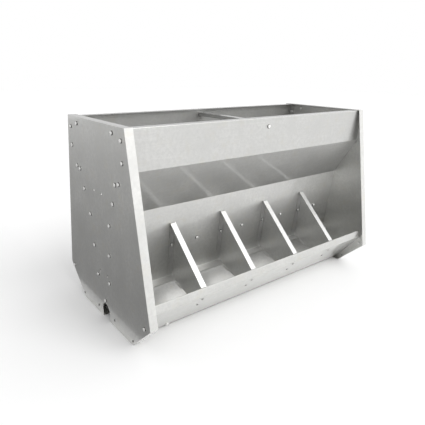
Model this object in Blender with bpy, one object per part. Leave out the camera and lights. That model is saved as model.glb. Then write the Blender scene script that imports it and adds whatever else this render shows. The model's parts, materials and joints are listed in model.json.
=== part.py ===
"""Double-sided trough feeder in folded stainless sheet, five feeding places on each side.

Metres, +Z up. X runs along the trough, -Y is the front, the origin is on the ground under the middle.
Sheet sections are drawn as (distance from the centre plane, height) and swept along X.
"""

import math

import bmesh
import bpy
from mathutils import Vector

# Overall size
LENGTH = 1.125
HEIGHT = 0.700
PLACES = 5
PLACE_PITCH = LENGTH / PLACES
SIDES = (("front", -1), ("back", 1))
GAP = 0.0003
BEND_RADIUS = 0.003
BEND_STEPS = 3

# End panels: a hexagon with its edges folded inwards
PANEL_T = 0.002
PANEL_FLANGE = 0.028
PANEL_TOP_HALF = 0.2065
PANEL_KNEE_HALF = 0.310
PANEL_KNEE_Z = 0.113
PANEL_FOOT_HALF = 0.191
PANEL_BEND_RADIUS = 0.0018
PANEL_BEND_STEPS = 2
NOTCH_HALF = 0.028
NOTCH_HEIGHT = 0.062
NOTCH_STEPS = 10
PANEL_HOLES = ((0.028, 0.474), (0.028, 0.182))
PANEL_HOLE_RADIUS = 0.004
RIM_BOLT_AT = (0.130, 0.678)

# Hopper sheet: top flange, upright band, slope
SHEET_T = 0.0015
HOPPER_TOP_Z = HEIGHT - PANEL_T - GAP
BAND_HALF = 0.199
BAND_BOTTOM_Z = 0.572
RIM_FLANGE = 0.028
SLOPE_BOTTOM = Vector((0.1005, 0.415))
HOPPER_END_FLANGE = 0.025
RIM_TO_END_FLANGE = 0.008

# Feed board: lap behind the slope, board, outward ledge
LAP = 0.025
LAP_CLEAR = 0.030
BOARD_BOTTOM = Vector((0.0665, 0.133))
LEDGE_EDGE = Vector((0.0952, 0.1253))
BOARD_END_FLANGE = 0.036
BOARD_FLANGE_MARGIN = 0.006
BOARD_BOLT_Z = 0.262

# Feed gate: slotted plate that slides down the inner face of the feed board
GATE_BELOW_BOARD = 0.020
GATE_HEIGHT = 0.255
GATE_FOLD = 0.010
GATE_TRAVEL = 0.070
GATE_END_CLEAR = 0.0015
SLOT_RADIUS = 0.0042
SLOT_STEPS = 5

# Trough pan: hemmed lips, sloping walls, flat floors and a hollow centre ridge
TROUGH_T = 0.002
LIP_TOP = Vector((0.2790, 0.1745))
LIP_BOTTOM = Vector((0.2835, 0.147))
WALL_BOTTOM = Vector((0.1624, PANEL_T + GAP))
HEM_DEPTH = 0.013
HEM_INNER_RADIUS = 0.0005
HEM_STEPS = 4
RIDGE_CENTRE = Vector((0.0, 0.0335))
RIDGE_RADIUS = 0.0295
RIDGE_SLOPE = math.radians(40)
RIDGE_STEPS = 6
WALL_FLANGE_SPAN = (0.138, 0.024)
WALL_FLANGE_WIDTHS = (0.026, 0.016)
FLOOR_FLANGE_Z = 0.034
FLOOR_FLANGE_SPAN = (0.150, 0.0985)
RIDGE_FLANGE = 0.018
RIDGE_FLANGE_LIFT = 0.001

# Dividers: one folded plate, used eight times
DIVIDER_T = 0.0015
DIVIDER_FLANGE = 0.021
DIVIDER_TOP_Z = 0.350
DIVIDER_LOW_BACK = Vector((0.0968, 0.1190))
DIVIDER_LOW_FRONT_Z = 0.0765
DIVIDER_CLEAR = 0.0005
DIVIDER_RELIEF = 0.002
DIVIDER_TIP_RELIEF = 0.0055
LEDGE_CORNER_CUT = 0.005
LOW_FOLD = 0.008
LOW_FOLD_LENGTH = 0.038
FOOT_RIVET_Z = (0.128, 0.093)

# Brace across the hopper mouth
BRACE_HALF_WIDTH = 0.013
BRACE_LEG = 0.014
BRACE_TAB = 0.024
BRACE_TOP_Z = 0.682
BRACE_BOLT_Z = 0.667

# Fasteners: M6 hexagon bolts with nuts, and 4 mm rivets
BOLT_RADIUS = 0.003
BOLT_HALF_FLATS = 0.005
BOLT_HEAD = 0.004
NUT_HEIGHT = 0.005
BOLT_HOLE_RADIUS = 0.0035
BOLT_SIDES = 12
RIVET_RADIUS = 0.002
RIVET_HEAD_RADIUS = 0.0042
RIVET_TAIL_RADIUS = 0.0034
RIVET_CROWN_RADIUS = 0.0024
RIVET_HEAD = 0.0020
RIVET_RIM = 0.0008
RIVET_HOLE_RADIUS = 0.0024
RIVET_SIDES = 8
DRILL_REACH = 0.006
SHARP_ANGLE = math.radians(40)

# Drain plug low in the front wall
PLUG_X = -0.420
PLUG_Z = 0.016
PLUG_RADIUS = 0.0055
PLUG_HEAD = 0.005
PLUG_HALF_FLATS = 0.007
PLUG_INSIDE = 0.003
PLUG_HOLE_RADIUS = 0.0060

ROUGHNESS = 0.35
COLOURS = {
    "panel_steel": (0.42, 0.42, 0.40),
    "hopper_steel": (0.60, 0.60, 0.59),
    "trough_steel": (0.58, 0.58, 0.56),
    "divider_steel": (0.50, 0.50, 0.49),
    "gate_steel": (0.52, 0.52, 0.51),
    "fastener_steel": (0.62, 0.62, 0.60),
}


def clear_scene():
    for thing in list(bpy.data.objects):
        bpy.data.objects.remove(thing, do_unlink=True)


def make_material(name):
    material = bpy.data.materials.new(name)
    material.use_nodes = True
    shader = material.node_tree.nodes["Principled BSDF"]
    shader.inputs["Base Color"].default_value = (*COLOURS[name], 1.0)
    shader.inputs["Roughness"].default_value = ROUGHNESS
    shader.inputs["Metallic"].default_value = 1.0
    return material


def mesh_from(bm, name):
    bmesh.ops.recalc_face_normals(bm, faces=bm.faces)
    mesh = bpy.data.meshes.new(name)
    bm.to_mesh(mesh)
    bm.free()
    return mesh


def add_object(name, mesh, material):
    thing = bpy.data.objects.new(name, mesh)
    bpy.context.scene.collection.objects.link(thing)
    mesh.materials.clear()
    mesh.materials.append(material)
    return thing


def add_helper(name, mesh, material):
    """A cutter, or a piece that is united with another: it is never drawn."""
    thing = add_object(name, mesh, material)
    thing.hide_render = True
    thing.display_type = "WIRE"
    return thing


def combine(thing, helper, operation):
    boolean = thing.modifiers.new(helper.name, "BOOLEAN")
    boolean.operation = operation
    boolean.solver = "EXACT"
    boolean.object = helper


# Lines in a section, as lists of (distance, height)


def unit(start, end):
    return (Vector(end) - Vector(start)).normalized()


def right_of(direction):
    return Vector((direction.y, -direction.x))


def along(start, end, distance):
    """The point that lies this far from start, towards end."""
    return Vector(start) + unit(start, end) * distance


def at_height(start, end, height):
    """The point at this height on the line through start and end."""
    return Vector(start).lerp(Vector(end), (height - start[1]) / (end[1] - start[1]))


def arc(start, centre, turn, steps):
    """Points from start, turned about centre by the angle turn, anticlockwise when positive."""
    spoke = Vector(start) - Vector(centre)
    points = []
    for step in range(steps + 1):
        angle = turn * step / steps
        across = spoke.x * math.cos(angle) - spoke.y * math.sin(angle)
        up = spoke.x * math.sin(angle) + spoke.y * math.cos(angle)
        points.append(Vector(centre) + Vector((across, up)))
    return points


def rounded(points, radius):
    """The line with an arc in place of each inner corner."""
    line = [Vector(points[0])]
    for before, corner, after in zip(points, points[1:], points[2:]):
        arriving = unit(before, corner)
        leaving = unit(corner, after)
        cross = arriving.x * leaving.y - arriving.y * leaving.x
        turn = math.atan2(cross, arriving.dot(leaving))
        start = Vector(corner) - arriving * (radius * math.tan(abs(turn) / 2))
        centre = start - right_of(arriving) * math.copysign(radius, turn)
        line.extend(arc(start, centre, turn, BEND_STEPS))
    line.append(Vector(points[-1]))
    return line


def offset(line, distance):
    """The line moved to its right, with mitred corners."""
    line = [Vector(point) for point in line]
    moved = []
    for index, point in enumerate(line):
        if index in (0, len(line) - 1):
            first = max(index - 1, 0)
            second = min(index + 1, len(line) - 1)
            moved.append(point + right_of(unit(line[first], line[second])) * distance)
            continue
        arriving = right_of(unit(line[index - 1], point))
        leaving = right_of(unit(point, line[index + 1]))
        mitre = (arriving + leaving).normalized()
        moved.append(point + mitre * (distance / mitre.dot(arriving)))
    return moved


def mirrored(line):
    return [Vector((-point.x, point.y)) for point in reversed(line)]


def to_side(x, point, sign):
    """A section point as a point in space, on the front (-1) or the back (1)."""
    return Vector((x, sign * point[0], point[1]))


# Solids


def swept_strip(near, far, x_from, x_to, sign):
    """The closed solid between two section lines with equal point counts, from x_from to x_to."""
    bm = bmesh.new()

    def row(x, line):
        return [bm.verts.new(to_side(x, point, sign)) for point in line]

    near_a, far_a = row(x_from, near), row(x_from, far)
    near_b, far_b = row(x_to, near), row(x_to, far)
    last = len(near_a) - 1
    for i in range(last):
        bm.faces.new((near_a[i], near_a[i + 1], near_b[i + 1], near_b[i]))
        bm.faces.new((far_a[i], far_b[i], far_b[i + 1], far_a[i + 1]))
        bm.faces.new((near_a[i], far_a[i], far_a[i + 1], near_a[i + 1]))
        bm.faces.new((near_b[i], near_b[i + 1], far_b[i + 1], far_b[i]))
    bm.faces.new((near_a[0], near_b[0], far_b[0], far_a[0]))
    bm.faces.new((near_a[last], far_a[last], far_b[last], near_b[last]))
    return bm


def folded_plate(outline, folds, thickness):
    """A plate at w = 0 to thickness whose chosen edges are folded up, and its bend edges.

    outline is an anticlockwise list of (u, v). folds gives each folded edge's depth by the index of
    its first point. Neighbouring folds have one depth and stay joined at their corner.
    """
    bm = bmesh.new()
    count = len(outline)
    inner = offset([outline[-1], *outline, outline[0]], -thickness)[1:-1]

    def level(points, w):
        return [bm.verts.new((point[0], point[1], w)) for point in points]

    outer_low = level(outline, 0.0)
    outer_mid = level(outline, thickness)
    inner_mid = level(inner, thickness)
    raised = {}
    for i, depth in folds.items():
        for k in (i, (i + 1) % count):
            if k not in raised:
                raised[k] = level([outline[k], inner[k]], depth)

    bm.faces.new(outer_low)
    bm.faces.new(inner_mid)
    for i in range(count):
        j = (i + 1) % count
        bm.faces.new((outer_low[i], outer_low[j], outer_mid[j], outer_mid[i]))
        if i not in folds:
            bm.faces.new((outer_mid[i], outer_mid[j], inner_mid[j], inner_mid[i]))
            continue
        outer_i, inner_i = raised[i]
        outer_j, inner_j = raised[j]
        bm.faces.new((outer_mid[i], outer_mid[j], outer_j, outer_i))
        bm.faces.new((outer_i, outer_j, inner_j, inner_i))
        bm.faces.new((inner_i, inner_j, inner_mid[j], inner_mid[i]))
        if (i - 1) % count not in folds:
            bm.faces.new((outer_mid[i], outer_i, inner_i, inner_mid[i]))
        if j not in folds:
            bm.faces.new((outer_mid[j], inner_mid[j], inner_j, outer_j))
    bends = [bm.edges.get((outer_low[i], outer_low[(i + 1) % count])) for i in folds]
    return bm, bends


def stack(sections, sides):
    """A solid along Z from rings of (z, radius or half width across flats, hexagonal or not)."""
    bm = bmesh.new()
    rings = []
    for z, size, hexagonal in sections:
        ring = []
        for k in range(sides):
            angle = 2 * math.pi * k / sides
            off_flat = (angle + math.pi / 6) % (math.pi / 3) - math.pi / 6
            radius = size / math.cos(off_flat) if hexagonal else size
            ring.append(bm.verts.new((radius * math.cos(angle), radius * math.sin(angle), z)))
        rings.append(ring)
    for low, high in zip(rings, rings[1:]):
        for k in range(sides):
            n = (k + 1) % sides
            bm.faces.new((low[k], low[n], high[n], high[k]))
    bm.faces.new(rings[0])
    bm.faces.new(rings[-1])
    return bm


def bolt_mesh(name, grip):
    """A bolt with its nut: the head's bearing face is at z = 0 and the shank runs down."""
    nut_top = -grip - GAP
    sections = (
        (BOLT_HEAD, BOLT_HALF_FLATS, True),
        (0.0, BOLT_HALF_FLATS, True),
        (0.0, BOLT_RADIUS, False),
        (nut_top, BOLT_RADIUS, False),
        (nut_top, BOLT_HALF_FLATS, True),
        (nut_top - NUT_HEIGHT, BOLT_HALF_FLATS, True),
    )
    return mesh_from(stack(sections, BOLT_SIDES), name)


def rivet_mesh(name, grip):
    tail_top = -grip - GAP
    sections = (
        (RIVET_HEAD, RIVET_CROWN_RADIUS, False),
        (RIVET_RIM, RIVET_HEAD_RADIUS, False),
        (0.0, RIVET_HEAD_RADIUS, False),
        (0.0, RIVET_RADIUS, False),
        (tail_top, RIVET_RADIUS, False),
        (tail_top, RIVET_TAIL_RADIUS, False),
        (tail_top - RIVET_RIM, RIVET_TAIL_RADIUS, False),
    )
    return mesh_from(stack(sections, RIVET_SIDES), name)


def plug_mesh(name):
    inside = -TROUGH_T - PLUG_INSIDE
    sections = (
        (PLUG_HEAD, PLUG_HALF_FLATS, True),
        (0.0, PLUG_HALF_FLATS, True),
        (0.0, PLUG_RADIUS, False),
        (inside, PLUG_RADIUS, False),
    )
    return mesh_from(stack(sections, BOLT_SIDES), name)


def place_fastener(name, mesh, point, outward, material):
    """Stands a fastener on a surface, with its head pointing outward."""
    thing = add_object(name, mesh, material)
    thing.location = Vector(point) + Vector(outward) * GAP
    thing.rotation_euler = Vector(outward).to_track_quat("Z", "Y").to_euler()
    mesh.shade_smooth()
    mesh.set_sharp_from_angle(angle=SHARP_ANGLE)
    return thing


def drill(thing, label, holes, radius, sides):
    """Cuts round holes, each given as (point, direction) in the object's own space."""
    bm = bmesh.new()
    for point, direction in holes:
        matrix = Vector(direction).to_track_quat("Z", "Y").to_matrix().to_4x4()
        matrix.translation = Vector(point)
        bmesh.ops.create_cone(
            bm, cap_ends=True, segments=sides, radius1=radius, radius2=radius,
            depth=2 * DRILL_REACH, matrix=matrix,
        )
    name = f"{thing.name}_{label}"
    cutter = add_helper(name, mesh_from(bm, name), thing.data.materials[0])
    cutter.parent = thing
    combine(thing, cutter, "DIFFERENCE")


def unite_end_strips(sheet, label, near, far, end_x, thickness, sign):
    """Folds both ends of a swept sheet against the end panels, between two section lines."""
    for end, x_from in (("left", -end_x), ("right", end_x - thickness)):
        name = f"{sheet.name}_{label}_{end}"
        strip = mesh_from(swept_strip(near, far, x_from, x_from + thickness, sign), name)
        combine(sheet, add_helper(name, strip, sheet.data.materials[0]), "UNION")


# Places that several parts share

END_X = LENGTH / 2 - PANEL_T - GAP
BAY_CENTRES = [PLACE_PITCH * (k - (PLACES - 1) / 2) for k in range(PLACES)]
DIVIDER_CENTRES = [PLACE_PITCH * (k - (PLACES - 2) / 2) for k in range(PLACES - 1)]
BAND_TOP = Vector((BAND_HALF, HOPPER_TOP_Z))
BAND_BOTTOM = Vector((BAND_HALF, BAND_BOTTOM_Z))
LAP_TOP, BOARD_TOP = offset([along(SLOPE_BOTTOM, BAND_BOTTOM, LAP), SLOPE_BOTTOM], SHEET_T + GAP)
BOARD_DOWN = unit(BOARD_TOP, BOARD_BOTTOM)
BOARD_OUT = -right_of(BOARD_DOWN)
BOARD_BOLT = at_height(BOARD_TOP, BOARD_BOTTOM, BOARD_BOLT_Z)
WALL_OUT = -right_of(unit(LIP_BOTTOM, WALL_BOTTOM))
RIDGE_SIDE = RIDGE_CENTRE + Vector((math.sin(RIDGE_SLOPE), math.cos(RIDGE_SLOPE))) * RIDGE_RADIUS
RIDGE_CROWN = arc(RIDGE_SIDE, RIDGE_CENTRE, 2 * RIDGE_SLOPE, RIDGE_STEPS)
RIDGE_RUN = (RIDGE_SIDE.y - WALL_BOTTOM.y) / math.tan(RIDGE_SLOPE)
RIDGE_FOOT = Vector((RIDGE_SIDE.x + RIDGE_RUN, WALL_BOTTOM.y))


# Sub-parts


def panel_outline():
    """The panel's outline, anticlockwise, and the indices of the notch's edges."""
    right = [
        Vector((PANEL_FOOT_HALF, 0.0)),
        Vector((PANEL_KNEE_HALF, PANEL_KNEE_Z)),
        Vector((PANEL_TOP_HALF, HEIGHT)),
    ]
    crown_centre = Vector((0.0, NOTCH_HEIGHT - NOTCH_HALF))
    crown_start = crown_centre - Vector((NOTCH_HALF, 0.0))
    crown = arc(crown_start, crown_centre, -math.pi, NOTCH_STEPS)
    notch = [Vector((-NOTCH_HALF, 0.0)), *crown, Vector((NOTCH_HALF, 0.0))]
    hexagon = right + mirrored(right)
    first = len(hexagon)
    return hexagon + notch, range(first, first + len(notch) - 1)


def build_end_panel(name, x_sign, material):
    outline, notch_edges = panel_outline()
    folds = {i: PANEL_FLANGE for i in range(len(outline)) if i not in notch_edges}
    bm, bends = folded_plate(outline, folds, PANEL_T)
    bmesh.ops.bevel(
        bm, geom=bends, offset=PANEL_BEND_RADIUS, segments=PANEL_BEND_STEPS,
        profile=0.5, affect="EDGES",
    )
    for vertex in bm.verts:
        y, z, x = vertex.co
        vertex.co = (x - LENGTH / 2, y, z)
    panel = add_object(name, mesh_from(bm, name), material)
    if x_sign > 0:
        panel.rotation_euler.z = math.pi
    plate_x = (PANEL_T - LENGTH) / 2
    across = (1, 0, 0)
    open_holes = [(to_side(plate_x, at, sign), across) for _, sign in SIDES for at in PANEL_HOLES]
    bolt_holes = [(to_side(plate_x, RIM_BOLT_AT, sign), across) for _, sign in SIDES]
    drill(panel, "open_holes", open_holes, PANEL_HOLE_RADIUS, BOLT_SIDES)
    drill(panel, "bolt_holes", bolt_holes, BOLT_HOLE_RADIUS, BOLT_SIDES)


def build_hopper_sheet(side, sign, material):
    name = f"{side}_hopper_sheet"
    rim_edge = BAND_TOP - Vector((RIM_FLANGE, 0.0))
    outer = rounded([rim_edge, BAND_TOP, BAND_BOTTOM, SLOPE_BOTTOM], BEND_RADIUS)
    bm = swept_strip(outer, offset(outer, SHEET_T), -END_X, END_X, sign)
    sheet = add_object(name, mesh_from(bm, name), material)
    flange_top = BAND_TOP - Vector((0.0, RIM_TO_END_FLANGE))
    spine = [flange_top, BAND_BOTTOM, along(SLOPE_BOTTOM, BAND_BOTTOM, LAP_CLEAR)]
    near = offset(spine, SHEET_T / 2)
    far = offset(spine, HOPPER_END_FLANGE)
    unite_end_strips(sheet, "flange", near, far, END_X, SHEET_T, sign)
    hole = (to_side(0.0, (BAND_HALF, BRACE_BOLT_Z), sign), (0, 1, 0))
    drill(sheet, "brace_hole", [hole], BOLT_HOLE_RADIUS, BOLT_SIDES)


def build_feed_board(side, sign, material):
    name = f"{side}_feed_board"
    outer = rounded([LAP_TOP, BOARD_TOP, BOARD_BOTTOM, LEDGE_EDGE], BEND_RADIUS)
    bm = swept_strip(outer, offset(outer, SHEET_T), -END_X, END_X, sign)
    board = add_object(name, mesh_from(bm, name), material)
    spine = [
        along(BOARD_TOP, BOARD_BOTTOM, BOARD_FLANGE_MARGIN),
        along(BOARD_BOTTOM, BOARD_TOP, BOARD_FLANGE_MARGIN),
    ]
    near = offset(spine, SHEET_T / 2)
    far = offset(spine, BOARD_END_FLANGE)
    unite_end_strips(board, "flange", near, far, END_X, SHEET_T, sign)
    outward = to_side(0.0, BOARD_OUT, sign)
    holes = [(to_side(x, BOARD_BOLT, sign), outward) for x in BAY_CENTRES + DIVIDER_CENTRES]
    drill(board, "bolt_holes", holes, BOLT_HOLE_RADIUS, BOLT_SIDES)


def slot_cutters(gate, bolt_line, sign):
    """One upright slot with round ends for each bolt, long enough for the whole travel."""
    bm = bmesh.new()
    low = arc((-SLOT_RADIUS, 0.0), (0.0, 0.0), math.pi, SLOT_STEPS)
    high = arc((SLOT_RADIUS, GATE_TRAVEL), (0.0, GATE_TRAVEL), math.pi, SLOT_STEPS)
    corners = low + high
    for x in BAY_CENTRES + DIVIDER_CENTRES:
        rims = []
        for depth in (-DRILL_REACH, DRILL_REACH):
            spots = [(x + p.x, bolt_line - BOARD_DOWN * p.y + BOARD_OUT * depth) for p in corners]
            rims.append([bm.verts.new(to_side(across, spot, sign)) for across, spot in spots])
        bm.faces.new(rims[0])
        bm.faces.new(rims[1])
        for i in range(len(corners)):
            j = (i + 1) % len(corners)
            bm.faces.new((rims[0][i], rims[0][j], rims[1][j], rims[1][i]))
    name = f"{gate.name}_slots"
    return add_helper(name, mesh_from(bm, name), gate.data.materials[0])


def build_feed_gate(side, sign, material):
    """The gate rests fully raised and slides down along the board."""
    name = f"{side}_feed_gate"
    _, board_end = offset([BOARD_TOP, BOARD_BOTTOM], SHEET_T + GAP)
    foot = board_end + BOARD_DOWN * GATE_BELOW_BOARD
    head = foot - BOARD_DOWN * GATE_HEIGHT
    outer = rounded([head, foot, foot - Vector((GATE_FOLD, 0.0))], BEND_RADIUS)
    half_length = END_X - SHEET_T - GATE_END_CLEAR
    bm = swept_strip(outer, offset(outer, SHEET_T), -half_length, half_length, sign)
    gate = add_object(name, mesh_from(bm, name), material)
    bolt_line = BOARD_BOLT - BOARD_OUT * (SHEET_T + GAP)
    combine(gate, slot_cutters(gate, bolt_line, sign), "DIFFERENCE")


def trough_line():
    """The pan's under side, from the front lip's hem over the ridge to the back lip's hem."""
    down = unit(LIP_TOP, LIP_BOTTOM)
    outward = -right_of(down)
    hem_top = LIP_TOP + outward * 2 * HEM_INNER_RADIUS
    fold = arc(hem_top, LIP_TOP + outward * HEM_INNER_RADIUS, math.pi, HEM_STEPS)
    body = rounded([LIP_TOP, LIP_BOTTOM, WALL_BOTTOM, RIDGE_FOOT, RIDGE_CROWN[0]], BEND_RADIUS)
    half = [hem_top + down * HEM_DEPTH, *fold, *body[1:]]
    return half + RIDGE_CROWN[1:-1] + mirrored(half)


def build_trough(material):
    name = "trough_pan"
    under = trough_line()
    bm = swept_strip(under, offset(under, TROUGH_T), -END_X, END_X, -1)
    pan = add_object(name, mesh_from(bm, name), material)
    rivets = []
    for _, sign in SIDES:
        outward = to_side(0.0, WALL_OUT, sign)
        for z in FOOT_RIVET_Z:
            spot = at_height(LIP_BOTTOM, WALL_BOTTOM, z)
            rivets.extend((to_side(x, spot, sign), outward) for x in DIVIDER_CENTRES)
    drill(pan, "rivet_holes", rivets, RIVET_HOLE_RADIUS, RIVET_SIDES)
    plug_at = to_side(PLUG_X, at_height(LIP_BOTTOM, WALL_BOTTOM, PLUG_Z), -1)
    plug_hole = [(plug_at, to_side(0.0, WALL_OUT, -1))]
    drill(pan, "plug_hole", plug_hole, PLUG_HOLE_RADIUS, BOLT_SIDES)
    wall = [at_height(LIP_BOTTOM, WALL_BOTTOM, z) for z in WALL_FLANGE_SPAN]
    wall_near = offset(wall, TROUGH_T / 2)
    wall_far = [point + WALL_OUT * width for point, width in zip(wall, WALL_FLANGE_WIDTHS)]
    floor_middle = WALL_BOTTOM.y + TROUGH_T / 2
    floor_near = [Vector((x, floor_middle)) for x in FLOOR_FLANGE_SPAN]
    floor_far = [Vector((x, FLOOR_FLANGE_Z)) for x in FLOOR_FLANGE_SPAN]
    for side, sign in SIDES:
        unite_end_strips(pan, f"{side}_wall", wall_near, wall_far, END_X, TROUGH_T, sign)
        unite_end_strips(pan, f"{side}_floor", floor_near, floor_far, END_X, TROUGH_T, sign)
    foot = RIDGE_FOOT + Vector((0.0, RIDGE_FLANGE_LIFT))
    ridge = [foot, *RIDGE_CROWN, *mirrored([foot])]
    ridge_near = offset(ridge, TROUGH_T / 2)
    ridge_far = offset(ridge, RIDGE_FLANGE)
    unite_end_strips(pan, "ridge", ridge_near, ridge_far, END_X, TROUGH_T, -1)


def divider_section():
    """The divider's outline as (distance, height), anticlockwise on the front side, and its folds."""
    back_top, back_low = offset([BOARD_TOP, BOARD_BOTTOM], -GAP)
    apex = at_height(back_top, back_low, DIVIDER_TOP_Z)
    heel = along(back_low, back_top, LEDGE_CORNER_CUT)
    ledge = offset([BOARD_BOTTOM, LEDGE_EDGE], -GAP)
    ledge_inner = along(ledge[0], ledge[1], LEDGE_CORNER_CUT)
    ledge_tip = Vector((DIVIDER_LOW_BACK.x, ledge[1].y + GAP))
    lip_in, bend_in, wall_in = offset([LIP_TOP, LIP_BOTTOM, WALL_BOTTOM], TROUGH_T + DIVIDER_CLEAR)
    toe = at_height(bend_in, wall_in, DIVIDER_LOW_FRONT_Z)
    outline = [
        apex,
        along(apex, lip_in, DIVIDER_TIP_RELIEF),
        along(lip_in, apex, DIVIDER_RELIEF),
        lip_in,
        bend_in,
        along(bend_in, toe, DIVIDER_RELIEF),
        along(toe, bend_in, DIVIDER_RELIEF),
        toe,
        along(DIVIDER_LOW_BACK, toe, DIVIDER_RELIEF + LOW_FOLD_LENGTH),
        along(DIVIDER_LOW_BACK, toe, DIVIDER_RELIEF),
        DIVIDER_LOW_BACK,
        ledge_tip,
        ledge_inner,
        heel,
        along(heel, apex, DIVIDER_RELIEF),
        along(apex, heel, DIVIDER_RELIEF),
    ]
    front, foot, low, back = 1, 5, 8, 14
    folds = {front: DIVIDER_FLANGE, foot: DIVIDER_FLANGE, low: LOW_FOLD, back: DIVIDER_FLANGE}
    return outline, folds


def divider_mesh(material):
    """The front divider about its own centre line, with its folds turned towards -X."""
    outline, folds = divider_section()
    bm, _ = folded_plate([Vector((-point.x, point.y)) for point in outline], folds, DIVIDER_T)
    for vertex in bm.verts:
        y, z, depth = vertex.co
        vertex.co = (DIVIDER_FLANGE / 2 - depth, y, z)
    plain = add_helper("divider_plate", mesh_from(bm, "divider_plate"), material)
    bolt_hole = [(to_side(0.0, BOARD_BOLT, -1), to_side(0.0, BOARD_OUT, -1))]
    drill(plain, "bolt_hole", bolt_hole, BOLT_HOLE_RADIUS, BOLT_SIDES)
    spots = [at_height(LIP_BOTTOM, WALL_BOTTOM, z) for z in FOOT_RIVET_Z]
    rivet_holes = [(to_side(0.0, spot, -1), to_side(0.0, WALL_OUT, -1)) for spot in spots]
    drill(plain, "rivet_holes", rivet_holes, RIVET_HOLE_RADIUS, RIVET_SIDES)
    bpy.context.view_layer.update()
    graph = bpy.context.evaluated_depsgraph_get()
    mesh = bpy.data.meshes.new_from_object(plain.evaluated_get(graph))
    mesh.name = "divider"
    for helper in [*plain.children, plain]:
        bpy.data.objects.remove(helper, do_unlink=True)
    return mesh


def build_dividers(material):
    mesh = divider_mesh(material)
    for side, sign in SIDES:
        for number, x in enumerate(DIVIDER_CENTRES, 1):
            divider = add_object(f"{side}_divider_{number}", mesh, material)
            divider.location.x = x
            if sign > 0:
                divider.rotation_euler.z = math.pi


def build_brace(material):
    """An upturned channel between the bands, with its ends turned down as bolting tabs."""
    end = BAND_HALF - SHEET_T - GAP
    cut = DIVIDER_RELIEF
    wide = BRACE_HALF_WIDTH
    right = [Vector((wide - cut, -end)), Vector((wide, cut - end)), Vector((wide, end - cut))]
    right.append(Vector((wide - cut, end)))
    outline = right + mirrored(right)
    right_leg, back_tab, left_leg, front_tab = 1, 3, 5, 7
    folds = {right_leg: BRACE_LEG, back_tab: BRACE_TAB, left_leg: BRACE_LEG, front_tab: BRACE_TAB}
    bm, _ = folded_plate(outline, folds, SHEET_T)
    for vertex in bm.verts:
        x, y, depth = vertex.co
        vertex.co = (x, y, BRACE_TOP_Z - depth)
    brace = add_object("hopper_brace", mesh_from(bm, "hopper_brace"), material)
    holes = [((0.0, sign * end, BRACE_BOLT_Z), (0, 1, 0)) for _, sign in SIDES]
    drill(brace, "bolt_holes", holes, BOLT_HOLE_RADIUS, BOLT_SIDES)


def build_fasteners(material):
    board_grip = 2 * SHEET_T + 2 * GAP
    divider_grip = board_grip + DIVIDER_T + GAP
    gate_bolt = bolt_mesh("gate_bolt", board_grip)
    divider_bolt = bolt_mesh("divider_bolt", divider_grip)
    brace_bolt = bolt_mesh("brace_bolt", 2 * SHEET_T + 2 * GAP)
    rim_bolt = bolt_mesh("rim_bolt", PANEL_T + GAP)
    rivet = rivet_mesh("foot_rivet", TROUGH_T + DIVIDER_CLEAR + DIVIDER_T + GAP)
    for side, sign in SIDES:
        outward = to_side(0.0, BOARD_OUT, sign)
        for number, x in enumerate(BAY_CENTRES, 1):
            spot = to_side(x, BOARD_BOLT, sign)
            place_fastener(f"{side}_gate_bolt_{number}", gate_bolt, spot, outward, material)
        on_flange = BOARD_BOLT + BOARD_OUT * (DIVIDER_T + GAP)
        wall_out = to_side(0.0, WALL_OUT, sign)
        for number, x in enumerate(DIVIDER_CENTRES, 1):
            spot = to_side(x, on_flange, sign)
            place_fastener(f"{side}_divider_bolt_{number}", divider_bolt, spot, outward, material)
            for place, z in zip(("upper", "lower"), FOOT_RIVET_Z):
                spot = to_side(x, at_height(LIP_BOTTOM, WALL_BOTTOM, z), sign)
                rivet_name = f"{side}_foot_rivet_{number}_{place}"
                place_fastener(rivet_name, rivet, spot, wall_out, material)
        spot = (0.0, sign * BAND_HALF, BRACE_BOLT_Z)
        place_fastener(f"{side}_brace_bolt", brace_bolt, spot, (0, sign, 0), material)
        for end, x_sign in (("left", -1), ("right", 1)):
            spot = to_side(x_sign * LENGTH / 2, RIM_BOLT_AT, sign)
            place_fastener(f"{end}_{side}_rim_bolt", rim_bolt, spot, (x_sign, 0, 0), material)
    plug_at = to_side(PLUG_X, at_height(LIP_BOTTOM, WALL_BOTTOM, PLUG_Z), -1)
    plug_out = to_side(0.0, WALL_OUT, -1)
    place_fastener("drain_plug", plug_mesh("drain_plug"), plug_at, plug_out, material)


def main():
    clear_scene()
    steel = {name: make_material(name) for name in COLOURS}
    build_end_panel("left_end_panel", -1, steel["panel_steel"])
    build_end_panel("right_end_panel", 1, steel["panel_steel"])
    for side, sign in SIDES:
        build_hopper_sheet(side, sign, steel["hopper_steel"])
        build_feed_board(side, sign, steel["hopper_steel"])
        build_feed_gate(side, sign, steel["gate_steel"])
    build_trough(steel["trough_steel"])
    build_dividers(steel["divider_steel"])
    build_brace(steel["gate_steel"])
    build_fasteners(steel["fastener_steel"])


main()
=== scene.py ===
"""The looks of the double-sided trough feeder: cold-rolled stainless sheet, bolts, rivets, studio.

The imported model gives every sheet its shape. This script gives the steel its finish, replaces the
plain fasteners with detailed ones, adds the small fasteners that hold the end panels, and sets up
the floor, the light and the camera. Metres, +Z up, -Y is the front.
"""

import json
import math

import bmesh
import bpy
from mathutils import Matrix, Vector


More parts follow.
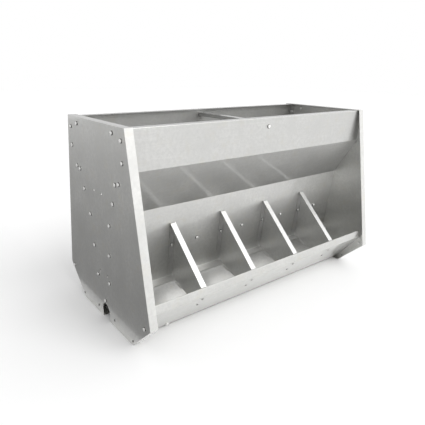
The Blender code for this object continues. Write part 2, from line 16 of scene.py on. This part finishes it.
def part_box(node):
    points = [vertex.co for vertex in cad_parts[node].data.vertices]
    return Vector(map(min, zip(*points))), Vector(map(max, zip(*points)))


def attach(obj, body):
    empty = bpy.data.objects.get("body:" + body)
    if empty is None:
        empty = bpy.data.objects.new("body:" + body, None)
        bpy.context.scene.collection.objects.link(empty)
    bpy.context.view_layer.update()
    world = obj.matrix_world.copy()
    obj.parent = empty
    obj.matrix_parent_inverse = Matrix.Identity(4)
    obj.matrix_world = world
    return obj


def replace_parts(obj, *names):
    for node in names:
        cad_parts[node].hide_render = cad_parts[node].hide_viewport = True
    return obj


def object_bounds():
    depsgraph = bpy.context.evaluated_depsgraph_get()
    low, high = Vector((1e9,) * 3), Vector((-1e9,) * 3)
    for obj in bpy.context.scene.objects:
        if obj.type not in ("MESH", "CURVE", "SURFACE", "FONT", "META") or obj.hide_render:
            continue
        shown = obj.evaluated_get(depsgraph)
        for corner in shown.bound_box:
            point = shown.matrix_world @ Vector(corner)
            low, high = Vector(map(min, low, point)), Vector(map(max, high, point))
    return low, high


SIDES = (("front", -1), ("back", 1))
ENDS = (("left", -1), ("right", 1))
SHARP_ANGLE = math.radians(32)
WELD_DISTANCE = 1e-5
FLAT_FACE_WEIGHT = 100

# The trough's sloping wall, as (distance from the centre plane, height)
TROUGH_WALL_TOP = (0.2835, 0.147)
TROUGH_WALL_FOOT = (0.1624, 0.0023)

# Finish of the sheets: how the noise runs along the rolling direction, the noise scales per
# metre, the share of the tone that each mark leaves, and a thin clear skin of polish
ROLLED_ALONG = {"X": (0.006, 1.0, 1.0), "Y": (1.0, 0.006, 1.0), "Z": (1.0, 1.0, 0.008)}
LINE_SCALE = 900.0
STREAK_SCALE = 130.0
CLOUD_SCALE = 9.0
SMUDGE_SCALE = 24.0
SCRATCH_SCALE = 260.0
MOTTLE_SCALE = 85.0
WAVE_SCALE = 3.2
CLOUD_DARK = 0.90
CLOUD_LIGHT = 1.06
STREAK_TONE = 0.93
MOTTLE_TONE = 0.88
LINE_TONE = 0.88
SMUDGE_TINT = (0.93, 0.91, 0.86)
WAVE_HEIGHT = 0.004
WAVE_STRENGTH = 0.06
LINE_HEIGHT = 0.00003
LINE_STRENGTH = 0.5
SKIN_WEIGHT = 1.0
SKIN_ROUGHNESS = 0.06

# Finish of the fasteners
GRAIN_SCALE = 1400.0
SPOT_SCALE = 300.0
DULL_TONE = 0.72
GRAIN_HEIGHT = 0.00004
GRAIN_STRENGTH = 0.4

# Fasteners, in metres
M6_RADIUS = 0.003
M6_CORE_RADIUS = 0.0026
M6_PITCH = 0.001
M6_HALF_FLATS = 0.0052
HEAD_TOP = 0.004
WASHER_RADIUS = 0.0070
WASHER_EDGE = 0.0002
WASHER_T = 0.0010
NUT_T = 0.0048
THREAD_END = 0.0015
CHAMFER_SLOPE = math.tan(math.radians(30))
HEAD_RING = 24
RIVET_RING = 20
RIVET_HEAD = 0.0020
RIVET_HEAD_RADIUS = 0.0042
RIVET_RIM = 0.0004
RIVET_DOME_STEPS = 5
RIVET_MANDREL = 0.0011
RIVET_MANDREL_DEPTH = 0.0006
RIVET_MANDREL_FLARE = 1.15
RIVET_TAIL_SHARE = 0.75
RIVET_TAIL_ROLL = 0.0006
RIVET_TAIL_LENGTH = 0.0011
RIVET_TAIL_TIP = 0.6
CROWN_SHARE = 0.94
SHANK_GAP = 0.0002
THREAD_GAP = 0.0001
TOP_TOLERANCE = 1e-5
PLUG_HEAD = 0.005
PLUG_HALF_FLATS = 0.006
PLUG_COLLAR_T = 0.0015
PLUG_COLLAR_RADIUS = 0.0076
PLUG_BODY_RADIUS = 0.0052
PLUG_BODY_LENGTH = 0.0048

# Fasteners of each end panel, as (distance from the centre plane, height)
PANEL_BOLTS = (
    (0.1855, 0.663),
    (0.1860, 0.600),
    (0.1560, 0.533),
    (0.1320, 0.526),
    (0.1090, 0.461),
    (0.0725, 0.379),
    (0.0580, 0.2695),
    (0.0450, 0.162),
    (0.2760, 0.108),
)
PANEL_RIVETS = (
    (0.064, 0.027),
    (0.196, 0.0185),
)
RIDGE_BOLT_Z = 0.0765
SHEET_STACK = 0.0041

# Camera
CAMERA_AT = (-1.0799, -1.2409, 0.8541)
CAMERA_YAW = math.radians(38.67)
CAMERA_PITCH = math.radians(18.95)
CAMERA_ROLL = math.radians(-1.0)
CAMERA_LENS = 35.38
CAMERA_SENSOR = 36.0

# Studio
FLOOR_SIZE = 30.0
FLOOR_DROP = 0.0004
FLOOR_WHITE = 0.93
FLOOR_ROUGHNESS = 0.9
BRIGHT_FROM = -0.2
BRIGHT_SIDE = (0.55, -0.80, 0.20)
AMBIENT = 0.68
AMBIENT_BRIGHT = 1.30
KEY_STRENGTH = 1.15
KEY_ANGLE = 40.0
KEY_DIRECTION = (-0.25, 0.75, -0.8)
LEFT_CARD = ((-6.0, -1.2), (-0.60, 6.0))
LEFT_CARD_GLOW = (0.22, 0.50)
LEFT_CARD_FADE = (-0.6, -2.2)


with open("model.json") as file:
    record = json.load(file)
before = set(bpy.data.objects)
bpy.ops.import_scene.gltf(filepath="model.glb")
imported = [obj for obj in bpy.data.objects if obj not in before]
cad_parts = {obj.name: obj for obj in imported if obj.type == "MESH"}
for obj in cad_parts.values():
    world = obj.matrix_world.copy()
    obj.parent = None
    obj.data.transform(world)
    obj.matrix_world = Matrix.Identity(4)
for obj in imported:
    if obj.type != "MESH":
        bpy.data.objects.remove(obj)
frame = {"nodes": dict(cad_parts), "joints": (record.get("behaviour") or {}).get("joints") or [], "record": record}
cad_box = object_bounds()


# Materials


class Nodes:
    """A material's or a world's node tree, with short calls for the nodes that repeat."""

    def __init__(self, owner):
        owner.use_nodes = True
        self.tree = owner.node_tree
        self.tree.nodes.clear()

    def add(self, kind, **settings):
        node = self.tree.nodes.new(kind)
        for name, value in settings.items():
            setattr(node, name, value)
        return node

    def link(self, source, target):
        self.tree.links.new(source, target)

    def noise(self, coordinates, scale, stretch=(1, 1, 1), detail=3.0, roughness=0.5):
        """Noise in object space, stretched along the axes whose factor is small."""
        mapping = self.add("ShaderNodeMapping")
        mapping.inputs["Scale"].default_value = stretch
        self.link(coordinates, mapping.inputs["Vector"])
        noise = self.add("ShaderNodeTexNoise")
        noise.inputs["Scale"].default_value = scale
        noise.inputs["Detail"].default_value = detail
        noise.inputs["Roughness"].default_value = roughness
        self.link(mapping.outputs["Vector"], noise.inputs["Vector"])
        return noise.outputs["Fac"]

    def remap(self, value, low, high, to_low, to_high):
        node = self.add("ShaderNodeMapRange")
        numbers = {"From Min": low, "From Max": high, "To Min": to_low, "To Max": to_high}
        for name, number in numbers.items():
            node.inputs[name].default_value = number
        self.link(value, node.inputs["Value"])
        return node.outputs["Result"]

    def math(self, operation, first, second):
        node = self.add("ShaderNodeMath", operation=operation)
        for socket, value in zip(node.inputs, (first, second)):
            if isinstance(value, (int, float)):
                socket.default_value = value
            else:
                self.link(value, socket)
        return node.outputs["Value"]

    def mix_colour(self, factor, first, second):
        node = self.add("ShaderNodeMix", data_type="RGBA")
        self.link(factor, node.inputs["Factor"])
        for name, value in (("A", first), ("B", second)):
            socket = [s for s in node.inputs if s.name == name and s.type == "RGBA"][0]
            if isinstance(value, tuple):
                socket.default_value = (*value, 1.0)
            else:
                self.link(value, socket)
        return [s for s in node.outputs if s.type == "RGBA"][0]

    def bump(self, height, distance, strength, below=None):
        node = self.add("ShaderNodeBump")
        node.inputs["Distance"].default_value = distance
        node.inputs["Strength"].default_value = strength
        self.link(height, node.inputs["Height"])
        if below is not None:
            self.link(below, node.inputs["Normal"])
        return node.outputs["Normal"]


def rolled_steel(name, tone, roughness, rolled_along="X"):
    """Cold-rolled stainless sheet: rolling lines, streaks, cloudy sheen, smudges, fine scratches."""
    stretch = ROLLED_ALONG[rolled_along]
    material = bpy.data.materials.new(name)
    nodes = Nodes(material)
    place = nodes.add("ShaderNodeTexCoord").outputs["Object"]
    lines = nodes.noise(place, LINE_SCALE, stretch, detail=2.0)
    streaks = nodes.noise(place, STREAK_SCALE, stretch, detail=3.0, roughness=0.6)
    clouds = nodes.noise(place, CLOUD_SCALE, detail=5.0, roughness=0.62)
    smudges = nodes.noise(place, SMUDGE_SCALE, detail=5.0, roughness=0.65)
    short = tuple(0.2 + 0.8 * factor for factor in stretch)
    scratches = nodes.noise(place, SCRATCH_SCALE, short, detail=1.0)
    mottle = nodes.noise(place, MOTTLE_SCALE, detail=4.0, roughness=0.7)
    waves = nodes.noise(place, WAVE_SCALE, detail=1.0)

    smudge_share = nodes.remap(smudges, 0.54, 0.74, 0.0, 1.0)
    scratch_share = nodes.remap(scratches, 0.70, 0.76, 0.0, 1.0)
    colour = nodes.mix_colour(
        nodes.remap(clouds, 0.32, 0.68, 0.0, 1.0), shade(tone, CLOUD_DARK), shade(tone, CLOUD_LIGHT)
    )
    for share, mark in (
        (nodes.remap(streaks, 0.40, 0.66, 0.0, 0.30), STREAK_TONE),
        (nodes.remap(lines, 0.35, 0.65, 0.0, 0.35), LINE_TONE),
        (nodes.remap(mottle, 0.40, 0.62, 0.0, 0.8), MOTTLE_TONE),
    ):
        colour = nodes.mix_colour(share, colour, shade(tone, mark))
    warm = tuple(c * f for c, f in zip(tone, SMUDGE_TINT))
    colour = nodes.mix_colour(nodes.math("MULTIPLY", smudge_share, 0.8), colour, warm)
    rough = nodes.math(
        "ADD",
        nodes.remap(clouds, 0.25, 0.75, roughness - 0.04, roughness + 0.04),
        nodes.remap(streaks, 0.3, 0.7, -0.03, 0.03),
    )
    rough = nodes.math("ADD", rough, nodes.math("MULTIPLY", smudge_share, 0.06))
    rough = nodes.math("ADD", rough, nodes.math("MULTIPLY", scratch_share, 0.10))
    normal = nodes.bump(waves, WAVE_HEIGHT, WAVE_STRENGTH)
    normal = nodes.bump(lines, LINE_HEIGHT, LINE_STRENGTH, below=normal)

    shader = nodes.add("ShaderNodeBsdfPrincipled")
    shader.inputs["Metallic"].default_value = 1.0
    shader.inputs["Coat Weight"].default_value = SKIN_WEIGHT
    shader.inputs["Coat Roughness"].default_value = SKIN_ROUGHNESS
    nodes.link(colour, shader.inputs["Base Color"])
    nodes.link(rough, shader.inputs["Roughness"])
    nodes.link(normal, shader.inputs["Normal"])
    output = nodes.add("ShaderNodeOutputMaterial")
    nodes.link(shader.outputs["BSDF"], output.inputs["Surface"])
    return material


def shade(tone, factor):
    return tuple(min(c * factor, 1.0) for c in tone)


def turned_steel(name, tone, roughness, metallic=1.0):
    """Fastener metal with forging grain and small dull spots."""
    material = bpy.data.materials.new(name)
    nodes = Nodes(material)
    place = nodes.add("ShaderNodeTexCoord").outputs["Object"]
    grain = nodes.noise(place, GRAIN_SCALE, detail=3.0)
    spots = nodes.noise(place, SPOT_SCALE, detail=2.0)
    dull = nodes.remap(spots, 0.50, 0.70, 0.0, 1.0)
    colour = nodes.mix_colour(dull, tone, shade(tone, DULL_TONE))
    rough = nodes.math(
        "ADD",
        nodes.remap(grain, 0.3, 0.7, roughness - 0.04, roughness + 0.06),
        nodes.math("MULTIPLY", dull, 0.12),
    )
    shader = nodes.add("ShaderNodeBsdfPrincipled")
    shader.inputs["Metallic"].default_value = metallic
    nodes.link(colour, shader.inputs["Base Color"])
    nodes.link(rough, shader.inputs["Roughness"])
    nodes.link(nodes.bump(grain, GRAIN_HEIGHT, GRAIN_STRENGTH), shader.inputs["Normal"])
    output = nodes.add("ShaderNodeOutputMaterial")
    nodes.link(shader.outputs["BSDF"], output.inputs["Surface"])
    return material


# The steel of each kind of sheet, by the end of its node's name. All sheets are one stainless steel; their tones
# are set part by part to how bright each sheet shows, which paints in light and shade: the hopper sheet is
# darkened as painted shade and the trough sheet lightened as painted light.
STEEL_TONED_FOR_LIGHT = {
    "end_panel": rolled_steel("panel_sheet", (0.74, 0.74, 0.72), 0.42, "Z"),
    "hopper_sheet": rolled_steel("hopper_sheet_painted_shade", (0.61, 0.61, 0.597), 0.50),
    "feed_board": rolled_steel("board_sheet", (0.72, 0.72, 0.702), 0.48),
    "trough_pan": rolled_steel("trough_sheet_painted_light", (0.66, 0.66, 0.643), 0.50),
    "divider": rolled_steel("divider_sheet", (0.74, 0.74, 0.73), 0.42, "Z"),
    "feed_gate": rolled_steel("gate_sheet", (0.76, 0.76, 0.75), 0.42),
    "brace": rolled_steel("brace_sheet", (0.66, 0.66, 0.65), 0.42, "Y"),
}
FASTENER = turned_steel("fastener_metal", (0.92, 0.92, 0.90), 0.22, metallic=0.45)
# The washers are near-black as painted shade: a dark ring that stands in for the shadow round each bolt head.
WASHER_PAINTED_SHADE = turned_steel("washer_painted_shade", (0.10, 0.10, 0.097), 0.45)
# The rivets are darkened as painted shade: dark spots that stand in for the shade on and round each rivet head.
RIVET_PAINTED_SHADE = turned_steel("rivet_painted_shade", (0.26, 0.26, 0.25), 0.32)


def steel_of(node):
    """The steel of the sheet that this node is named after, or the fasteners' metal."""
    for ending, steel in STEEL_TONED_FOR_LIGHT.items():
        if ending in node and "bolt" not in node:
            return steel
    return FASTENER


def finish_cad_nodes():
    """Gives each sheet its steel, and shades its bends smooth."""
    slots = {row["node"]: row["material_slot"] for row in frame["record"]["subparts"]}
    for node, thing in frame["nodes"].items():
        thing.data.materials.clear()
        thing.data.materials.append(steel_of(node))
        if slots[node] == "fastener_steel":
            continue
        weld = thing.modifiers.new("weld", "WELD")
        weld.merge_threshold = WELD_DISTANCE
        split = thing.modifiers.new("edges", "EDGE_SPLIT")
        split.split_angle = SHARP_ANGLE
        split.use_edge_sharp = False
        flat = thing.modifiers.new("normals", "WEIGHTED_NORMAL")
        flat.mode = "FACE_AREA"
        flat.weight = FLAT_FACE_WEIGHT
        thing.data.shade_smooth()


# Fastener meshes: rings of points along Z, joined and capped


def hex_radius(angle, half_flats):
    return half_flats / math.cos((angle + math.pi / 6) % (math.pi / 3) - math.pi / 6)


def round_ring(z, radius, count):
    return [
        (radius * math.cos(2 * math.pi * k / count), radius * math.sin(2 * math.pi * k / count), z)
        for k in range(count)
    ]


def hex_ring(z, half_flats, chamfer_from=None, towards=1):
    """A hexagonal ring. With chamfer_from, each point drops with its distance beyond that radius."""
    ring = []
    for k in range(HEAD_RING):
        angle = 2 * math.pi * k / HEAD_RING
        radius = hex_radius(angle, half_flats)
        drop = 0.0
        if chamfer_from is not None:
            drop = towards * (radius - chamfer_from) * CHAMFER_SLOPE
        ring.append((radius * math.cos(angle), radius * math.sin(angle), z - drop))
    return ring


def lathe(rings, bm, slot=0):
    """One closed solid through the rings, from the top down, in one material slot."""
    made = [[bm.verts.new(point) for point in ring] for ring in rings]
    faces = [bm.faces.new(made[0]), bm.faces.new(reversed(made[-1]))]
    for upper, lower in zip(made, made[1:]):
        for k in range(len(upper)):
            n = (k + 1) % len(upper)
            faces.append(bm.faces.new((upper[k], lower[k], lower[n], upper[n])))
    for face in faces:
        face.material_index = slot


def hex_head(bm, top, bottom):
    crown = M6_HALF_FLATS * CROWN_SHARE
    lathe(
        [
            round_ring(top, crown, HEAD_RING),
            hex_ring(top, M6_HALF_FLATS, chamfer_from=crown),
            hex_ring(bottom, M6_HALF_FLATS),
        ],
        bm,
    )


def washer(bm, top, bottom):
    inner_edge = WASHER_RADIUS - WASHER_EDGE
    lathe(
        [
            round_ring(top, inner_edge, HEAD_RING),
            round_ring(top - WASHER_EDGE, WASHER_RADIUS, HEAD_RING),
            round_ring(bottom, WASHER_RADIUS, HEAD_RING),
        ],
        bm,
        slot=1,
    )


def threaded_end(bm, top, bottom):
    rings = [round_ring(top, M6_CORE_RADIUS, HEAD_RING)]
    turns = max(1, round((top - bottom) / M6_PITCH))
    for turn in range(turns):
        middle = top - (turn + 0.5) * (top - bottom) / turns
        below = top - (turn + 1) * (top - bottom) / turns
        rings.append(round_ring(middle, M6_RADIUS, HEAD_RING))
        rings.append(round_ring(below, M6_CORE_RADIUS, HEAD_RING))
    lathe(rings, bm)


def bolt_mesh(name, grip):
    """Head and washer above z = 0, the sheets' faces at 0 and -grip, then nut and thread."""
    bm = bmesh.new()
    hex_head(bm, HEAD_TOP, WASHER_T)
    washer(bm, WASHER_T, 0.0)
    nut_top = -grip
    shank = [round_ring(z, M6_RADIUS, HEAD_RING) for z in (-SHANK_GAP, nut_top + SHANK_GAP)]
    lathe(shank, bm)
    crown = M6_HALF_FLATS * CROWN_SHARE
    lathe(
        [
            hex_ring(nut_top, M6_HALF_FLATS),
            hex_ring(nut_top - NUT_T, M6_HALF_FLATS, chamfer_from=crown, towards=-1),
            round_ring(nut_top - NUT_T, crown, HEAD_RING),
        ],
        bm,
    )
    threaded_end(bm, nut_top - NUT_T - THREAD_GAP, nut_top - NUT_T - THREAD_END)
    return finished_mesh(bm, name)


def rivet_mesh(name, grip):
    """A blind rivet: a domed head with the mandrel's hole, and a rolled tail below."""
    bm = bmesh.new()
    mouth = RIVET_MANDREL * RIVET_MANDREL_FLARE
    rings = [
        round_ring(RIVET_HEAD - RIVET_MANDREL_DEPTH, RIVET_MANDREL, RIVET_RING),
        round_ring(RIVET_HEAD, mouth, RIVET_RING),
    ]
    for step in range(1, RIVET_DOME_STEPS + 1):
        turn = 0.5 * math.pi * step / RIVET_DOME_STEPS
        reach = mouth + (RIVET_HEAD_RADIUS - mouth) * math.sin(turn)
        height = RIVET_RIM + (RIVET_HEAD - RIVET_RIM) * math.cos(turn)
        rings.append(round_ring(height, reach, RIVET_RING))
    rings.append(round_ring(0.0, RIVET_HEAD_RADIUS, RIVET_RING))
    lathe(rings, bm)
    tail = RIVET_HEAD_RADIUS * RIVET_TAIL_SHARE
    lathe(
        [
            round_ring(-grip, tail, RIVET_RING),
            round_ring(-grip - RIVET_TAIL_ROLL, tail, RIVET_RING),
            round_ring(-grip - RIVET_TAIL_LENGTH, tail * RIVET_TAIL_TIP, RIVET_RING),
        ],
        bm,
    )
    return finished_mesh(bm, name, (RIVET_PAINTED_SHADE,))


def plug_mesh(name):
    """A drain plug: hexagon head on a wide collar, with a short body inside the trough."""
    bm = bmesh.new()
    crown = PLUG_HALF_FLATS * CROWN_SHARE
    lathe(
        [
            round_ring(PLUG_HEAD, crown, HEAD_RING),
            hex_ring(PLUG_HEAD, PLUG_HALF_FLATS, chamfer_from=crown),
            hex_ring(PLUG_COLLAR_T, PLUG_HALF_FLATS),
        ],
        bm,
    )
    lathe([round_ring(z, PLUG_COLLAR_RADIUS, HEAD_RING) for z in (PLUG_COLLAR_T, 0.0)], bm)
    body = (-SHANK_GAP, -PLUG_BODY_LENGTH)
    lathe([round_ring(z, PLUG_BODY_RADIUS, HEAD_RING) for z in body], bm)
    return finished_mesh(bm, name)


def finished_mesh(bm, name, metals=()):
    bmesh.ops.recalc_face_normals(bm, faces=bm.faces)
    mesh = bpy.data.meshes.new(name)
    bm.to_mesh(mesh)
    bm.free()
    mesh.shade_smooth()
    mesh.set_sharp_from_angle(angle=SHARP_ANGLE)
    for metal in metals or (FASTENER, WASHER_PAINTED_SHADE):
        mesh.materials.append(metal)
    return mesh


def stand(name, mesh, point, outward):
    """Stands a fastener on a surface with its head pointing outward, riding on the frame body."""
    thing = bpy.data.objects.new(name, mesh)
    bpy.context.scene.collection.objects.link(thing)
    thing.rotation_mode = "QUATERNION"
    thing.rotation_quaternion = Vector(outward).to_track_quat("Z", "Y")
    thing.location = Vector(point)
    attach(thing, "frame")
    return thing


def seat_of(node, outward, head):
    """Where the underside of a fastener's head meets its axis, and how long the fastener is."""
    points = [vertex.co for vertex in frame["nodes"][node].data.vertices]
    heights = [point.dot(outward) for point in points]
    top = [p for p, h in zip(points, heights) if h > max(heights) - TOP_TOLERANCE]
    centre = sum((Vector(p) for p in top), Vector()) / len(top)
    return centre - Vector(outward) * head, max(heights) - min(heights)


def replace_fasteners():
    """Stands a detailed fastener in place of each plain one."""
    slide = {joint["child"]: Vector(joint["axis"]) for joint in frame["joints"]}
    wall = Vector(TROUGH_WALL_TOP) - Vector(TROUGH_WALL_FOOT)
    for side, sign in SIDES:
        down = slide[f"{side}_gate"]
        board_out = Vector((0.0, -sign * down.z, sign * down.y)).normalized()
        wall_out = Vector((0.0, sign * wall.y, -wall.x)).normalized()
        for node in sorted(frame["nodes"]):
            if f"{side}_gate_bolt" in node or f"{side}_divider_bolt" in node:
                stand_in(node, board_out)
            elif f"{side}_foot_rivet" in node:
                stand_in(node, wall_out, rivet=True)
            elif node == f"{side}_brace_bolt":
                stand_in(node, Vector((0, sign, 0)))
    for end, x_sign in ENDS:
        for side, _ in SIDES:
            stand_in(f"{end}_{side}_rim_bolt", Vector((x_sign, 0, 0)))
    plug_out = Vector((0.0, -wall.y, -wall.x)).normalized()
    seat, _ = seat_of("drain_plug", plug_out, PLUG_HEAD)
    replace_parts(stand("drain_plug_detail", plug_mesh("plug_shape"), seat, plug_out), "drain_plug")


def stand_in(node, outward, rivet=False):
    head = RIVET_HEAD if rivet else HEAD_TOP
    seat, length = seat_of(node, outward, head)
    if rivet:
        mesh = rivet_mesh(f"{node}_shape", length - head - RIVET_TAIL_LENGTH)
    else:
        mesh = bolt_mesh(f"{node}_shape", length - head - NUT_T)
    thing = stand(f"{node}_detail", mesh, seat, outward)
    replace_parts(thing, node)


def add_panel_fasteners():
    """Bolts and rivets that hold each end panel to the sheets' folded ends."""
    bolt = bolt_mesh("panel_bolt_shape", SHEET_STACK)
    rivet = rivet_mesh("panel_rivet_shape", SHEET_STACK)
    outer = {"left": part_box("left_end_panel")[0].x, "right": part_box("right_end_panel")[1].x}
    for end, x_sign in ENDS:
        outward = Vector((x_sign, 0, 0))
        for side, sign in SIDES:
            for number, (across, up) in enumerate(PANEL_BOLTS, 1):
                spot = (outer[end], sign * across, up)
                stand(f"{end}_{side}_panel_bolt_{number}", bolt, spot, outward)
            for number, (across, up) in enumerate(PANEL_RIVETS, 1):
                spot = (outer[end], sign * across, up)
                stand(f"{end}_{side}_panel_rivet_{number}", rivet, spot, outward)
        stand(f"{end}_ridge_bolt", bolt, (outer[end], 0.0, RIDGE_BOLT_Z), outward)


def add_camera():
    data = bpy.data.cameras.new("camera")
    data.sensor_width = CAMERA_SENSOR
    data.lens = CAMERA_LENS
    camera = bpy.data.objects.new("camera", data)
    bpy.context.scene.collection.objects.link(camera)
    forward = Vector((
        math.sin(CAMERA_YAW) * math.cos(CAMERA_PITCH),
        math.cos(CAMERA_YAW) * math.cos(CAMERA_PITCH),
        -math.sin(CAMERA_PITCH),
    ))
    level_right = Vector((math.cos(CAMERA_YAW), -math.sin(CAMERA_YAW), 0.0))
    level_down = forward.cross(level_right)
    right = level_right * math.cos(CAMERA_ROLL) + level_down * math.sin(CAMERA_ROLL)
    down = level_down * math.cos(CAMERA_ROLL) - level_right * math.sin(CAMERA_ROLL)
    camera.matrix_world = matrix_from(right, -down, -forward, CAMERA_AT)
    bpy.context.scene.camera = camera


def matrix_from(x_axis, y_axis, z_axis, place):
    matrix = Matrix((x_axis, y_axis, z_axis)).transposed().to_4x4()
    matrix.translation = Vector(place)
    return matrix


def add_floor():
    bm = bmesh.new()
    bmesh.ops.create_grid(bm, x_segments=1, y_segments=1, size=FLOOR_SIZE / 2)
    mesh = bpy.data.meshes.new("floor")
    bm.to_mesh(mesh)
    bm.free()
    material = bpy.data.materials.new("floor_paint")
    nodes = Nodes(material)
    shader = nodes.add("ShaderNodeBsdfPrincipled")
    shader.inputs["Base Color"].default_value = (FLOOR_WHITE, FLOOR_WHITE, FLOOR_WHITE, 1.0)
    shader.inputs["Roughness"].default_value = FLOOR_ROUGHNESS
    output = nodes.add("ShaderNodeOutputMaterial")
    nodes.link(shader.outputs["BSDF"], output.inputs["Surface"])
    mesh.materials.append(material)
    floor = bpy.data.objects.new("floor", mesh)
    floor.location.z = cad_box[0][2] - FLOOR_DROP
    bpy.context.scene.collection.objects.link(floor)


def add_world():
    """Soft light from every side, strongest from the front right, and plain white behind."""
    world = bpy.data.worlds.new("studio")
    bpy.context.scene.world = world
    nodes = Nodes(world)
    seen = nodes.add("ShaderNodeBackground")
    seen.inputs["Color"].default_value = (1.0, 1.0, 1.0, 1.0)
    light = nodes.add("ShaderNodeBackground")
    light.inputs["Color"].default_value = (1.0, 1.0, 1.0, 1.0)
    direction = nodes.add("ShaderNodeTexCoord").outputs["Generated"]
    facing = nodes.add("ShaderNodeVectorMath", operation="DOT_PRODUCT")
    nodes.link(direction, facing.inputs[0])
    facing.inputs[1].default_value = BRIGHT_SIDE
    strength = nodes.remap(facing.outputs["Value"], BRIGHT_FROM, 1.0, AMBIENT, AMBIENT_BRIGHT)
    nodes.link(strength, light.inputs["Strength"])
    path = nodes.add("ShaderNodeLightPath")
    mix = nodes.add("ShaderNodeMixShader")
    nodes.link(path.outputs["Is Camera Ray"], mix.inputs["Fac"])
    nodes.link(light.outputs["Background"], mix.inputs[1])
    nodes.link(seen.outputs["Background"], mix.inputs[2])
    output = nodes.add("ShaderNodeOutputWorld")
    nodes.link(mix.outputs["Shader"], output.inputs["Surface"])


def add_glow_card(name, low, high, glow, fade):
    """A glowing card just over the floor, unseen itself, that the steel on its side reflects.

    Its glow goes from the first value to the second between the two places along X in fade.
    """
    bm = bmesh.new()
    corners = ((low[0], low[1]), (high[0], low[1]), (high[0], high[1]), (low[0], high[1]))
    bm.faces.new([bm.verts.new((x, y, 0.0)) for x, y in corners])
    mesh = bpy.data.meshes.new(name)
    bm.to_mesh(mesh)
    bm.free()
    material = bpy.data.materials.new(name)
    nodes = Nodes(material)
    place = nodes.add("ShaderNodeTexCoord").outputs["Object"]
    along = nodes.add("ShaderNodeSeparateXYZ")
    nodes.link(place, along.inputs["Vector"])
    shader = nodes.add("ShaderNodeEmission")
    nodes.link(nodes.remap(along.outputs["X"], *fade, *glow), shader.inputs["Strength"])
    output = nodes.add("ShaderNodeOutputMaterial")
    nodes.link(shader.outputs["Emission"], output.inputs["Surface"])
    mesh.materials.append(material)
    card = bpy.data.objects.new(name, mesh)
    card.location.z = cad_box[0][2] - FLOOR_DROP / 2
    card.visible_camera = False
    card.visible_shadow = False
    card.visible_diffuse = False
    bpy.context.scene.collection.objects.link(card)


def add_sun(name, strength, angle, direction):
    data = bpy.data.lights.new(name, "SUN")
    data.energy = strength
    data.angle = math.radians(angle)
    sun = bpy.data.objects.new(name, data)
    sun.rotation_mode = "QUATERNION"
    sun.rotation_quaternion = Vector(direction).to_track_quat("-Z", "Y")
    bpy.context.scene.collection.objects.link(sun)


finish_cad_nodes()
replace_fasteners()
add_panel_fasteners()
add_camera()
add_floor()
add_world()
add_sun("key", KEY_STRENGTH, KEY_ANGLE, KEY_DIRECTION)
add_glow_card("left_card", *LEFT_CARD, LEFT_CARD_GLOW, LEFT_CARD_FADE)
bpy.context.scene.view_settings.view_transform = "Standard"
